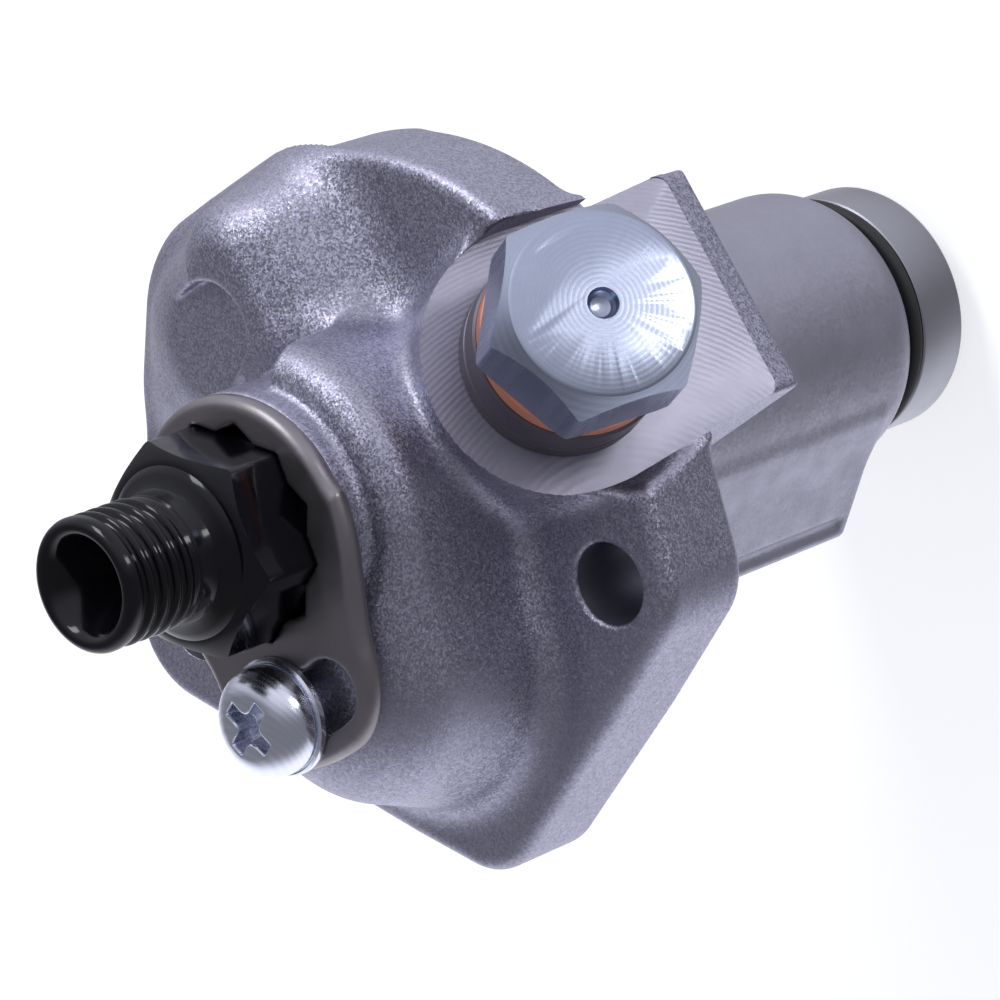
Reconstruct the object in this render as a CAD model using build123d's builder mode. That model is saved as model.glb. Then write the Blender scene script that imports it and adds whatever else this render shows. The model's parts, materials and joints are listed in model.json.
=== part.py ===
from build123d import *
import os
from math import cos, radians, sin

# Single-plunger diesel injection pump, flange mounted.
# Origin where the spigot axis meets the flange's mounting face, +Z towards the delivery outlet,
# +X towards the inlet boss. Millimetres.

# Flange
flange_thickness = 10.0
flange_radius = 29.5
flange_bulge = (-8.4, 17.9)
flange_bulge_radius = 12.1
flange_edge_round = 1.2
stud_hole_radius = 3.7
stud_a_x = 17.6
stud_a_y = -19.0
stud_a_ear = 7.0
stud_b_x = -31.0
stud_b_y = -0.3
stud_b_ear = 7.6
corner_x = -9.3
corner_y = -28.9
corner_ear = 6.3

# Cast dome above the flange
core_radius = 15.5
core_shoulder_z = 25.2
core_shoulder_round = 3.0
core_root_radius = 17.2
core_root_z = 12.8
core_back_z = 16.2
core_back_start = 57.0
core_back_arc = 88.0
core_back_round = 2.0
seat_pad_radius = 12.6
seat_pad_z = 27.5
lower_lobe_base = (-6.3, -13.6)
lower_lobe_base_radius = 15.7
lower_lobe_top = (-3.0, -13.0)
lower_lobe_top_radius = 11.6
lower_lobe_top_z = 27.2
lower_lobe_round = 6.8
lower_lobe_root_radius = 17.4
lobe_root_flare = 3.4
lobe_root_height = 4.4
upper_lobe_base_a = (7.2, 22.2)
upper_lobe_base_a_radius = 6.0
upper_lobe_base_b = (-16.0, 16.5)
upper_lobe_base_b_radius = 6.9
upper_lobe_top_a = (4.4, 20.2)
upper_lobe_top_a_radius = 3.6
upper_lobe_top_b = (-7.9, 17.6)
upper_lobe_top_b_radius = 5.0
upper_lobe_top_z = 17.8
upper_lobe_round = 2.4
ledge_a = (-2.2, 19.0)
ledge_a_radius = 3.4
ledge_b = (-7.6, 18.2)
ledge_b_radius = 4.3
ledge_c = (-9.5, 15.0)
ledge_c_radius = 2.0
lobe_root_z = 9.0

# Inlet boss, tilted towards the outlet
inlet_angle = 63.2
inlet_axis_z = -3.94
inlet_face_distance = 25.66
boss_radius = 12.2
boss_half_width = 10.9
boss_lower_edge = 16.5
boss_rear_z = -10.0
boss_root_distance = 6.0
spot_face_height = 9.0
spot_face_margin = 2.4
inlet_thread_radius = 6.0
inlet_thread_end = 13.5
inlet_drill_radius = 2.0

# Spigot barrel below the flange
barrel_radius = 13.8
barrel_taper_z = -44.0
barrel_end_radius = 12.4
spigot_radius = 12.0
spigot_end_z = -58.7
spigot_chamfer = 0.5
ring_groove_top_z = -51.0
ring_groove_width = 1.6
ring_groove_radius = 10.9
o_ring_wire_radius = 0.62
web_angle = -57.3
web_length = 15.0
web_thickness = 6.5
web_end_z = -45.5
web_step_width = 1.9
web_step_depth = 0.7
web_step_end_gap = 1.3

# Stepped bore of the housing
holder_thread_radius = 9.0
holder_bore_end_z = 14.6
element_bore_radius = 8.25
gallery_radius = 9.7
gallery_low_z = -6.5
gallery_high_z = 2.5
element_shoulder_z = -12.0
web_floor_z = -15.0
stem_hole_radius = 6.3
sleeve_chamber_radius = 8.9
spring_shoulder_z = -22.0
tappet_bore_radius = 9.5

# Pumping element
plunger_radius = 3.5
running_gap = 0.03
loose_gap = 0.05
barrel_head_top_z = 4.0
stem_radius = 6.0
stem_end_z = -22.5
port_radius = 1.1
port_z = -3.9
plunger_top_z = -6.5
plunger_groove_radius = 2.6
plunger_groove_top_z = -13.0
plunger_groove_end_z = -17.0
plunger_slot_width = 1.2
plunger_neck_radius = 2.7
plunger_neck_z = -29.5
vane_width = 2.4
vane_reach = 6.6
vane_high_z = -31.5
vane_low_z = -34.5
foot_radius = 4.4
foot_thickness = 1.8
spill_pitch = 26.0
spill_height = 4.5
foot_gap = 0.1

# Delivery valve
seat_top_z = 14.2
seat_groove_z = 8.6
seat_groove_width = 1.6
seat_groove_radius = 7.3
seat_cone_radius = 4.4
valve_guide_radius = 3.0
valve_cone_radius = 3.9
valve_top_z = 14.4
valve_stem_low_z = 5.2
valve_seat_gap = 0.02
valve_flute_width = 1.6
valve_flute_depth = 1.3
valve_flute_height = 6.8
valve_spring_pip_radius = 1.5
valve_spring_pip_height = 2.0
gasket_thickness = 0.8
gasket_inner_radius = 5.2

# Delivery valve holder
hex_across_flats = 17.0
hex_phase = 18.8
hex_low_z = 28.1
hex_high_z = 35.3
hex_chamfer_radius = 8.3
hex_chamfer_height = 0.9
holder_relief_z = 26.8
holder_relief_radius = 8.3
collar_radius = 7.7
collar_top_z = 36.8
neck_radius = 5.0
neck_top_z = 38.9
outlet_thread_radius = 5.9
outlet_end_z = 47.25
outlet_chamfer = 0.7
outlet_cone_radius = 4.1
outlet_cone_depth = 5.5
outlet_bore_radius = 1.25
spring_chamber_radius = 4.4
spring_chamber_top_z = 29.0
holder_groove_high_z = 25.6
holder_groove_width = 2.2
holder_groove_radius = 7.5
holder_ring_wire_radius = 0.7

# Lock plate and its screw
plate_thickness = 2.2
plate_radius = 12.9
plate_reach = 21.3
plate_half_width = 11.6
plate_corner = 4.5
plate_edge_round = 0.7
plate_angle = -108.0
plate_hex_gap = 0.12
slot_radius = 16.3
slot_width = 6.0
slot_half_angle = 19.0
screw_radius = 2.5
screw_length = 14.0
screw_head_radius = 4.95
screw_head_height = 3.5
screw_head_crown = 2.2
screw_tip_chamfer = 0.5
recess_arm_width = 1.25
recess_arm_length = 5.0
recess_depth = 2.2
recess_taper = 12.0
recess_turn = 20.0
screw_washer_radius = 5.3
screw_washer_thickness = 0.9
screw_washer_gap = 0.3
screw_washer_chamfer = 0.2

# Inlet bolt stack
spacer_radius = 8.78
spacer_height = 5.5
spacer_groove = 0.3
collar_gap = 0.1
seal_radius = 8.17
seal_height = 2.0
bolt_hex_height = 8.4
bolt_thread_gap = 0.05
bolt_end_gap = 1.2
bolt_tip_chamfer = 0.6
bolt_phase = 7.1
bolt_cross_distance = 28.4
bolt_bore_radius = 3.0
bolt_bore_top = 31.5
bolt_cross_radius = 1.6
bolt_dimple_radius = 1.4
bolt_chamfer_radius = 7.9
bolt_chamfer_height = 3.2

# Control sleeve and arm
sleeve_radius = 7.25
sleeve_top_z = -16.8
sleeve_end_z = -35.5
sleeve_slot_top_z = -23.2
vane_gap = 0.06
arm_top_z = -17.4
arm_thickness = 2.6
arm_width = 4.0
arm_reach = 18.0
arm_hub_radius = 8.6
arm_pin_radius = 1.9
arm_pin_length = 7.0
arm_pin_chamfer = 0.5
arm_eye_radius = 3.2
window_half_width = 7.6
window_low_z = -21.4
window_high_z = -16.2

# Plunger spring and its seats
upper_seat_thickness = 1.4
upper_seat_hole = 7.6
spring_wire_radius = 0.8
spring_mean_radius = 8.45
spring_turns = 6.5
lower_seat_top_z = -44.5
lower_seat_thickness = 1.4
lower_seat_radius = 9.3
lower_seat_hole = 3.2

# Tappet
tappet_end_z = -59.4
tappet_chamfer = 0.5
tappet_recess_radius = 4.9
shim_thickness = 0.8
shim_radius = 4.6
roller_radius = 5.2
roller_width = 7.0
roller_side_gap = 0.15
roller_z = -55.6
roller_pocket_half_length = 5.9
roller_pin_radius = 2.0
roller_pin_half_length = 8.9
roller_bush_radius = 3.0
roller_chamfer = 0.4
guide_pin_radius = 1.1
guide_pin_z = -49.2
guide_pin_outer = 12.5
guide_slot_depth = 1.4
guide_slot_gap = 0.1

# Barrel locating pin
barrel_pin_radius = 1.0
barrel_pin_z = -9.3
barrel_pin_tip = 7.5
barrel_pin_outer = 13.6

# Delivery valve spring
valve_spring_wire_radius = 0.45
valve_spring_mean_radius = 2.4
valve_spring_turns = 7.0

# Derived frames and places
inlet_direction = Vector(sin(radians(inlet_angle)), 0, cos(radians(inlet_angle)))
inlet_plane = Plane(
    origin=(0, 0, inlet_axis_z),
    x_dir=(-cos(radians(inlet_angle)), 0, sin(radians(inlet_angle))),
    z_dir=inlet_direction,
)
core_back_plane = Plane(
    origin=(0, 0, 0),
    x_dir=(cos(radians(core_back_start)), sin(radians(core_back_start)), 0),
    z_dir=(sin(radians(core_back_start)), -cos(radians(core_back_start)), 0),
)
web_plane = Plane(
    origin=(0, 0, 0),
    x_dir=(sin(radians(web_angle)), -cos(radians(web_angle)), 0),
    z_dir=(0, 0, 1),
)
plate_turn = plate_angle + 90
plate_plane = Plane(
    origin=(0, 0, seat_pad_z),
    x_dir=(cos(radians(plate_turn)), sin(radians(plate_turn)), 0),
    z_dir=(0, 0, 1),
)
plate_top_z = seat_pad_z + plate_thickness
bolt_shank_radius = inlet_thread_radius - bolt_thread_gap
screw_x = slot_radius * cos(radians(plate_angle))
screw_y = slot_radius * sin(radians(plate_angle))
hex_corner_radius = hex_across_flats / 2 / cos(radians(30))
tappet_top_z = lower_seat_top_z - lower_seat_thickness
foot_top_z = tappet_top_z - foot_gap
foot_low_z = foot_top_z - foot_thickness
recess_floor_z = foot_low_z - shim_thickness
holder_low_z = seat_top_z + gasket_thickness
plunger_body_radius = plunger_radius - running_gap
element_radius = element_bore_radius - loose_gap
holder_body_radius = holder_thread_radius - loose_gap
holder_ring_radius = (holder_groove_radius + holder_thread_radius) / 2
valve_stem_radius = valve_guide_radius - running_gap
valve_cone_low_z = seat_top_z - seat_cone_radius + valve_stem_radius + valve_seat_gap
valve_cone_high_z = valve_cone_low_z + valve_cone_radius - valve_stem_radius
spigot_ring_radius = ring_groove_radius + o_ring_wire_radius + running_gap
slot_half_width = vane_width / 2 + vane_gap
washer_top_z = plate_top_z + screw_washer_thickness
spacer_top = inlet_face_distance + spacer_height
seal_top = spacer_top + seal_height
bolt_top = seal_top + bolt_hex_height
upper_seat_low_z = spring_shoulder_z - upper_seat_thickness
roller_pocket_top_z = roller_z + roller_radius + roller_side_gap * 2
tappet_radius = tappet_bore_radius - loose_gap


def save(part_builder, node):
    """Label a finished sub-part and write it to its own file."""
    part_builder.part.label = node
    export_step(part_builder.part, "parts/" + node + ".step")


def hull_of(circles, height):
    """Sketch the convex outline around a few circles at a given height."""
    with BuildSketch(Plane.XY.offset(height), mode=Mode.PRIVATE) as outline:
        with BuildLine():
            for centre, radius in circles:
                CenterArc(centre, radius, 0, 360)
        make_hull()
    return outline.sketch


def turned(points):
    """A turned solid from (radius, height) points, closed on the Z axis."""
    with BuildPart(mode=Mode.PRIVATE) as blank:
        with BuildSketch(Plane.XZ):
            with BuildLine():
                Polyline(*points, close=True)
            make_face()
        revolve(axis=Axis.Z)
    return blank.part


def boss_outline(height=0.0, margin=0.0):
    """Outline of the inlet face, round above and square below, wider to -Y by the margin."""
    low = -boss_lower_edge - margin
    with BuildSketch(inlet_plane.offset(inlet_face_distance + height), mode=Mode.PRIVATE) as outline:
        with BuildLine():
            CenterArc((0, margin), boss_radius + margin, 0, 360)
            Line((low, -boss_half_width), (low, boss_half_width + 2 * margin))
        make_hull()
    return outline.sketch


def along_inlet(points):
    """A turned solid from (radius, distance) points, placed on the inlet axis."""
    return turned(points).moved(inlet_plane.location)


os.makedirs("parts", exist_ok=True)

# Lobes of the cast dome, each rounded at its top before it joins the housing
with BuildPart() as lower_lobe:
    with BuildSketch(Plane.XY.offset(lobe_root_z)):
        with Locations(Location(lower_lobe_base, -90)):
            Circle(lower_lobe_base_radius)
    with BuildSketch(Plane.XY.offset(lower_lobe_top_z)):
        with Locations(Location(lower_lobe_top, -90)):
            Circle(lower_lobe_top_radius)
    loft()
    fillet(lower_lobe.faces().sort_by(Axis.Z)[-1].edges(), lower_lobe_round)
    # Flared root on the flange
    with Locations(Location((lower_lobe_base[0], lower_lobe_base[1], lobe_root_z))):
        Cone(
            lower_lobe_root_radius,
            lower_lobe_root_radius - lobe_root_flare,
            lobe_root_height,
            align=(Align.CENTER, Align.CENTER, Align.MIN),
        )

with BuildPart() as upper_lobe:
    add(
        hull_of(
            [
                (upper_lobe_base_a, upper_lobe_base_a_radius),
                (upper_lobe_base_b, upper_lobe_base_b_radius),
            ],
            lobe_root_z,
        )
    )
    add(
        hull_of(
            [
                (upper_lobe_top_a, upper_lobe_top_a_radius),
                (upper_lobe_top_b, upper_lobe_top_b_radius),
            ],
            upper_lobe_top_z,
        )
    )
    loft()
    fillet(upper_lobe.faces().sort_by(Axis.Z)[-1].edges(), upper_lobe_round)
    add(
        hull_of(
            [(ledge_a, ledge_a_radius), (ledge_b, ledge_b_radius), (ledge_c, ledge_c_radius)],
            core_back_z,
        )
    )
    extrude(amount=upper_lobe_top_z, mode=Mode.SUBTRACT)

# Core of the dome: rounded shoulder, raised pad under the lock plate, low back between the lobes
with BuildPart() as dome_core:
    with BuildSketch(Plane.XZ):
        with BuildLine():
            Polyline(
                (0, 0),
                (core_root_radius, 0),
                (core_root_radius, lobe_root_z),
                (core_radius, core_root_z),
                (core_radius, core_shoulder_z - core_shoulder_round),
            )
            RadiusArc(
                (core_radius, core_shoulder_z - core_shoulder_round),
                (core_radius - core_shoulder_round, core_shoulder_z),
                -core_shoulder_round,
            )
            Polyline(
                (core_radius - core_shoulder_round, core_shoulder_z),
                (seat_pad_radius, core_shoulder_z),
                (seat_pad_radius, seat_pad_z),
                (0, seat_pad_z),
                (0, 0),
            )
        make_face()
    revolve(axis=Axis.Z)
    with BuildSketch(core_back_plane):
        with BuildLine():
            Line((seat_pad_radius, seat_pad_z), (seat_pad_radius, core_back_z + core_back_round))
            Line((core_radius, core_back_z), (core_radius + core_back_round, core_back_z))
            Polyline(
                (core_radius + core_back_round, core_back_z),
                (core_radius + core_back_round, seat_pad_z),
                (seat_pad_radius, seat_pad_z),
            )
            RadiusArc(
                (seat_pad_radius, core_back_z + core_back_round),
                (seat_pad_radius + core_back_round, core_back_z),
                core_back_round,
            )
            Line((seat_pad_radius + core_back_round, core_back_z), (core_radius, core_back_z))
        make_face()
    revolve(axis=Axis.Z, revolution_arc=core_back_arc, mode=Mode.SUBTRACT)

# Inlet boss: a rounded head square to the inlet axis, on a block that runs down behind the flange
with BuildPart() as inlet_boss:
    add(boss_outline())
    extrude(amount=-(inlet_face_distance - boss_root_distance))
    face_low = inlet_plane.offset(inlet_face_distance).from_local_coords((-boss_lower_edge, 0, 0))
    face_mid = inlet_plane.offset(inlet_face_distance).from_local_coords((0, 0, 0))
    with BuildSketch(Plane.XZ):
        with BuildLine():
            Polyline(
                (boss_root_distance, boss_rear_z),
                (face_low.X, boss_rear_z),
                (face_low.X, face_low.Z),
                (face_mid.X, face_mid.Z),
                (boss_root_distance, face_mid.Z),
                close=True,
            )
        make_face()
    extrude(amount=boss_half_width, both=True)
    split(bisect_by=Plane.XY.offset(boss_rear_z), keep=Keep.TOP)

with BuildPart() as pump_housing:
    add(
        hull_of(
            [
                ((0, 0), flange_radius),
                (flange_bulge, flange_bulge_radius),
                ((stud_a_x, stud_a_y), stud_a_ear),
                ((stud_b_x, stud_b_y), stud_b_ear),
                ((corner_x, corner_y), corner_ear),
            ],
            0,
        )
    )
    extrude(amount=flange_thickness)
    fillet(pump_housing.faces().sort_by(Axis.Z)[-1].edges(), flange_edge_round)
    add(lower_lobe.part)
    add(upper_lobe.part)
    add(dome_core.part)
    add(inlet_boss.part)
    # Pad under the plate's lug
    with BuildSketch(Plane.XY.offset(seat_pad_z)):
        with PolarLocations(slot_radius, 3, plate_angle - slot_half_angle, 2 * slot_half_angle, endpoint=True):
            Circle(slot_width / 2 + 1.2)
    extrude(amount=-(seat_pad_z - core_shoulder_z) - core_shoulder_round)
    # Spigot barrel with its ring groove
    add(
        turned(
            [
                (0, 0),
                (barrel_radius, 0),
                (barrel_radius, barrel_taper_z),
                (barrel_end_radius, ring_groove_top_z),
                (ring_groove_radius, ring_groove_top_z),
                (ring_groove_radius, ring_groove_top_z - ring_groove_width),
                (spigot_radius, ring_groove_top_z - ring_groove_width),
                (spigot_radius, spigot_end_z + spigot_chamfer),
                (spigot_radius - spigot_chamfer, spigot_end_z),
                (0, spigot_end_z),
            ]
        )
    )
    # Flat web beside the barrel, with a step along its outer edge
    with BuildSketch(web_plane):
        with Locations((web_length / 2, barrel_radius - web_thickness / 2)):
            Rectangle(web_length, web_thickness)
    extrude(amount=web_end_z)
    with BuildSketch(web_plane):
        with Locations((web_length - web_step_width / 2, barrel_radius - web_step_depth / 2)):
            Rectangle(web_step_width, web_step_depth)
    extrude(amount=web_end_z + web_step_end_gap, mode=Mode.SUBTRACT)
    # Stepped bore
    add(
        turned(
            [
                (0, seat_pad_z),
                (holder_thread_radius, seat_pad_z),
                (holder_thread_radius, holder_bore_end_z),
                (element_bore_radius, holder_bore_end_z),
                (element_bore_radius, gallery_high_z),
                (gallery_radius, gallery_high_z),
                (gallery_radius, gallery_low_z),
                (element_bore_radius, gallery_low_z),
                (element_bore_radius, element_shoulder_z),
                (stem_hole_radius, element_shoulder_z),
                (stem_hole_radius, web_floor_z),
                (sleeve_chamber_radius, web_floor_z),
                (sleeve_chamber_radius, spring_shoulder_z),
                (tappet_bore_radius, spring_shoulder_z),
                (tappet_bore_radius, spigot_end_z),
                (0, spigot_end_z),
            ]
        ),
        mode=Mode.SUBTRACT,
    )
    # Spot face round the inlet, cut through the edge of the flange
    add(boss_outline())
    add(boss_outline(spot_face_height, spot_face_margin))
    loft(mode=Mode.SUBTRACT)
    # Tapped inlet hole and its drilling into the gallery
    with BuildSketch(inlet_plane.offset(inlet_face_distance)):
        Circle(inlet_thread_radius)
    extrude(amount=inlet_thread_end - inlet_face_distance, mode=Mode.SUBTRACT)
    with BuildSketch(inlet_plane.offset(inlet_thread_end)):
        Circle(inlet_drill_radius)
    extrude(amount=element_bore_radius - inlet_thread_end, mode=Mode.SUBTRACT)
    # Stud holes
    with BuildSketch(Plane.XY):
        with Locations((stud_a_x, stud_a_y), (stud_b_x, stud_b_y)):
            Circle(stud_hole_radius)
    extrude(amount=seat_pad_z, mode=Mode.SUBTRACT)
    # Tapped hole for the lock plate's screw
    with BuildSketch(Plane.XY.offset(seat_pad_z)):
        with Locations((screw_x, screw_y)):
            Circle(screw_radius)
    extrude(amount=-screw_length, mode=Mode.SUBTRACT)
    # Window for the control arm
    with BuildSketch(Plane.XY.offset(window_low_z)):
        with Locations((-barrel_radius, 0)):
            Rectangle(2 * (barrel_radius - stem_hole_radius), 2 * window_half_width)
    extrude(amount=window_high_z - window_low_z, mode=Mode.SUBTRACT)
    # Radial holes for the tappet's guide pin and the barrel's locating pin
    with BuildSketch(Plane.YZ):
        with Locations((0, guide_pin_z)):
            Circle(guide_pin_radius)
        with Locations((0, barrel_pin_z)):
            Circle(barrel_pin_radius)
    extrude(amount=-2 * barrel_radius, mode=Mode.SUBTRACT)
save(pump_housing, "pump_housing")

# Delivery valve holder: hexagon first, then the turned body and thread, then the bores
with BuildPart() as delivery_valve_holder:
    with BuildSketch(Plane.XY.offset(hex_low_z)):
        RegularPolygon(hex_corner_radius, 6, rotation=hex_phase)
    extrude(amount=hex_high_z - hex_low_z)
    add(
        turned(
            [
                (0, hex_low_z),
                (hex_corner_radius, hex_low_z),
                (hex_corner_radius, hex_high_z - hex_chamfer_height),
                (hex_chamfer_radius, hex_high_z),
                (0, hex_high_z),
            ]
        ),
        mode=Mode.INTERSECT,
    )
    add(
        turned(
            [
                (0, holder_low_z),
                (holder_body_radius, holder_low_z),
                (holder_body_radius, holder_groove_high_z - holder_groove_width),
                (holder_groove_radius, holder_groove_high_z - holder_groove_width),
                (holder_groove_radius, holder_groove_high_z),
                (holder_body_radius, holder_groove_high_z),
                (holder_body_radius, holder_relief_z),
                (holder_relief_radius, holder_relief_z),
                (holder_relief_radius, hex_low_z),
                (collar_radius, hex_low_z),
                (collar_radius, collar_top_z),
                (neck_radius, neck_top_z),
                (outlet_thread_radius, neck_top_z + outlet_chamfer),
                (outlet_thread_radius, outlet_end_z - outlet_chamfer),
                (outlet_thread_radius - outlet_chamfer, outlet_end_z),
                (0, outlet_end_z),
            ]
        )
    )
    add(
        turned(
            [
                (0, holder_low_z),
                (spring_chamber_radius, holder_low_z),
                (spring_chamber_radius, spring_chamber_top_z),
                (outlet_bore_radius, spring_chamber_top_z),
                (outlet_bore_radius, outlet_end_z - outlet_cone_depth),
                (outlet_cone_radius, outlet_end_z),
                (0, outlet_end_z),
            ]
        ),
        mode=Mode.SUBTRACT,
    )
save(delivery_valve_holder, "delivery_valve_holder")

with BuildPart() as holder_o_ring:
    with BuildSketch(Plane.XZ):
        with Locations((holder_ring_radius, holder_groove_high_z - holder_groove_width / 2)):
            Circle(holder_ring_wire_radius)
    revolve(axis=Axis.Z)
save(holder_o_ring, "holder_o_ring")

with BuildPart() as valve_gasket:
    with BuildSketch(Plane.XY.offset(seat_top_z)):
        Circle(element_bore_radius - loose_gap)
        Circle(gasket_inner_radius, mode=Mode.SUBTRACT)
    extrude(amount=gasket_thickness)
save(valve_gasket, "valve_gasket")

# Delivery valve seat: a turned plug with a conical seat at the top of its guide bore
with BuildPart() as delivery_valve_seat:
    add(
        turned(
            [
                (valve_guide_radius, barrel_head_top_z),
                (element_radius, barrel_head_top_z),
                (element_radius, seat_groove_z),
                (seat_groove_radius, seat_groove_z),
                (seat_groove_radius, seat_groove_z + seat_groove_width),
                (element_radius, seat_groove_z + seat_groove_width),
                (element_radius, seat_top_z),
                (seat_cone_radius, seat_top_z),
                (valve_guide_radius, seat_top_z - seat_cone_radius + valve_guide_radius),
            ]
        )
    )
save(delivery_valve_seat, "delivery_valve_seat")

# Delivery valve: cone and head above a fluted stem, with a pip that centres its spring
with BuildPart() as delivery_valve:
    add(
        turned(
            [
                (0, valve_stem_low_z),
                (valve_stem_radius, valve_stem_low_z),
                (valve_stem_radius, valve_cone_low_z),
                (valve_cone_radius, valve_cone_high_z),
                (valve_cone_radius, valve_top_z),
                (valve_spring_pip_radius, valve_top_z),
                (valve_spring_pip_radius, valve_top_z + valve_spring_pip_height),
                (0, valve_top_z + valve_spring_pip_height),
            ]
        )
    )
    with BuildSketch(Plane.XY.offset(valve_stem_low_z)):
        with PolarLocations(valve_stem_radius, 4):
            Rectangle(valve_flute_depth * 2, valve_flute_width)
    extrude(amount=valve_flute_height, mode=Mode.SUBTRACT)
save(delivery_valve, "delivery_valve")

with BuildPart() as delivery_valve_spring:
    with BuildLine() as valve_spring_path:
        Helix(
            (spring_chamber_top_z - valve_top_z - 2 * valve_spring_wire_radius) / valve_spring_turns,
            spring_chamber_top_z - valve_top_z - 2 * valve_spring_wire_radius,
            valve_spring_mean_radius,
            center=(0, 0, valve_top_z + valve_spring_wire_radius),
        )
    with BuildSketch(Plane(origin=valve_spring_path.line @ 0, z_dir=valve_spring_path.line % 0)):
        Circle(valve_spring_wire_radius)
    sweep(is_frenet=True)
save(delivery_valve_spring, "delivery_valve_spring")

# Plunger barrel: head in the housing bore, stem down into the control sleeve
with BuildPart() as plunger_barrel:
    add(
        turned(
            [
                (plunger_radius, stem_end_z),
                (stem_radius, stem_end_z),
                (stem_radius, element_shoulder_z),
                (element_radius, element_shoulder_z),
                (element_radius, barrel_head_top_z),
                (plunger_radius, barrel_head_top_z),
            ]
        )
    )
    with BuildSketch(Plane.YZ):
        with Locations((0, port_z)):
            Circle(port_radius)
    extrude(amount=element_bore_radius, both=True, mode=Mode.SUBTRACT)
    with BuildSketch(Plane.YZ.offset(-barrel_pin_tip + loose_gap)):
        with Locations((0, barrel_pin_z)):
            Circle(barrel_pin_radius + loose_gap)
    extrude(amount=-element_bore_radius, mode=Mode.SUBTRACT)
save(plunger_barrel, "plunger_barrel")

with BuildPart() as barrel_pin:
    with BuildSketch(Plane.YZ.offset(-barrel_pin_tip)):
        with Locations((0, barrel_pin_z)):
            Circle(barrel_pin_radius)
    extrude(amount=barrel_pin_tip - barrel_pin_outer)
save(barrel_pin, "barrel_pin")

# Plunger: fitted body with spill groove, helix and slot, then neck, driving vanes and foot
with BuildPart() as plunger:
    add(
        turned(
            [
                (0, foot_low_z),
                (foot_radius, foot_low_z),
                (foot_radius, foot_top_z),
                (plunger_neck_radius, foot_top_z),
                (plunger_neck_radius, plunger_neck_z),
                (plunger_body_radius, plunger_neck_z),
                (plunger_body_radius, plunger_groove_end_z),
                (plunger_groove_radius, plunger_groove_end_z),
                (plunger_groove_radius, plunger_groove_top_z),
                (plunger_body_radius, plunger_groove_top_z),
                (plunger_body_radius, plunger_top_z),
                (0, plunger_top_z),
            ]
        )
    )
    with BuildSketch(Plane.XY.offset(vane_low_z)):
        Rectangle(2 * vane_reach, vane_width)
    extrude(amount=vane_high_z - vane_low_z)
    with BuildSketch(Plane.XY.offset(plunger_top_z)):
        with Locations((0, plunger_body_radius)):
            Rectangle(plunger_slot_width, 2 * (plunger_body_radius - plunger_groove_radius))
    extrude(amount=plunger_groove_top_z - plunger_top_z, mode=Mode.SUBTRACT)
    with BuildLine() as spill_path:
        Helix(spill_pitch, spill_height, plunger_body_radius, center=(0, 0, plunger_groove_top_z))
    with BuildSketch(Plane(origin=spill_path.line @ 0, x_dir=(0, 0, 1), z_dir=spill_path.line % 0)):
        Rectangle(plunger_slot_width * 2, 2 * (plunger_body_radius - plunger_groove_radius))
    sweep(is_frenet=True, mode=Mode.SUBTRACT)
save(plunger, "plunger")

# Control sleeve: turns on the barrel stem, two slots take the plunger's vanes
with BuildPart() as control_sleeve:
    with BuildSketch(Plane.XY.offset(sleeve_end_z)):
        Circle(sleeve_radius)
        Circle(stem_radius + loose_gap, mode=Mode.SUBTRACT)
    extrude(amount=sleeve_top_z - sleeve_end_z)
    with BuildSketch(Plane.XY.offset(sleeve_end_z)):
        Rectangle(2 * sleeve_radius + 1, 2 * slot_half_width)
    extrude(amount=sleeve_slot_top_z - sleeve_end_z, mode=Mode.SUBTRACT)
save(control_sleeve, "control_sleeve")

with BuildPart() as control_arm:
    with BuildSketch(Plane.XY.offset(arm_top_z - arm_thickness)):
        Circle(arm_hub_radius)
        with Locations((-arm_reach / 2, 0)):
            Rectangle(arm_reach, arm_width)
        with Locations((-arm_reach, 0)):
            Circle(arm_eye_radius)
        Circle(sleeve_radius, mode=Mode.SUBTRACT)
    extrude(amount=arm_thickness)
    with BuildSketch(Plane.XY.offset(arm_top_z - arm_thickness)):
        with Locations((-arm_reach, 0)):
            Circle(arm_pin_radius)
    extrude(amount=-arm_pin_length)
    chamfer(control_arm.faces().sort_by(Axis.Z)[0].edges(), arm_pin_chamfer)
save(control_arm, "control_arm")

with BuildPart() as upper_spring_seat:
    with BuildSketch(Plane.XY.offset(spring_shoulder_z)):
        Circle(tappet_radius)
        Circle(upper_seat_hole, mode=Mode.SUBTRACT)
    extrude(amount=-upper_seat_thickness)
save(upper_spring_seat, "upper_spring_seat")

with BuildPart() as plunger_spring:
    with BuildLine() as plunger_spring_path:
        Helix(
            (upper_seat_low_z - lower_seat_top_z - 2 * spring_wire_radius) / spring_turns,
            upper_seat_low_z - lower_seat_top_z - 2 * spring_wire_radius,
            spring_mean_radius,
            center=(0, 0, lower_seat_top_z + spring_wire_radius),
        )
    with BuildSketch(Plane(origin=plunger_spring_path.line @ 0, z_dir=plunger_spring_path.line % 0)):
        Circle(spring_wire_radius)
    sweep(is_frenet=True)
save(plunger_spring, "plunger_spring")

# Lower spring seat: keyhole slot so that it slips over the plunger's neck
with BuildPart() as lower_spring_seat:
    with BuildSketch(Plane.XY.offset(lower_seat_top_z)):
        Circle(lower_seat_radius)
        Circle(lower_seat_hole, mode=Mode.SUBTRACT)
        with Locations((0, lower_seat_radius / 2)):
            Rectangle(2 * lower_seat_hole, lower_seat_radius, mode=Mode.SUBTRACT)
    extrude(amount=-lower_seat_thickness)
save(lower_spring_seat, "lower_spring_seat")

with BuildPart() as timing_shim:
    with BuildSketch(Plane.XY.offset(recess_floor_z)):
        Circle(shim_radius)
    extrude(amount=shim_thickness)
save(timing_shim, "timing_shim")

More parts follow.
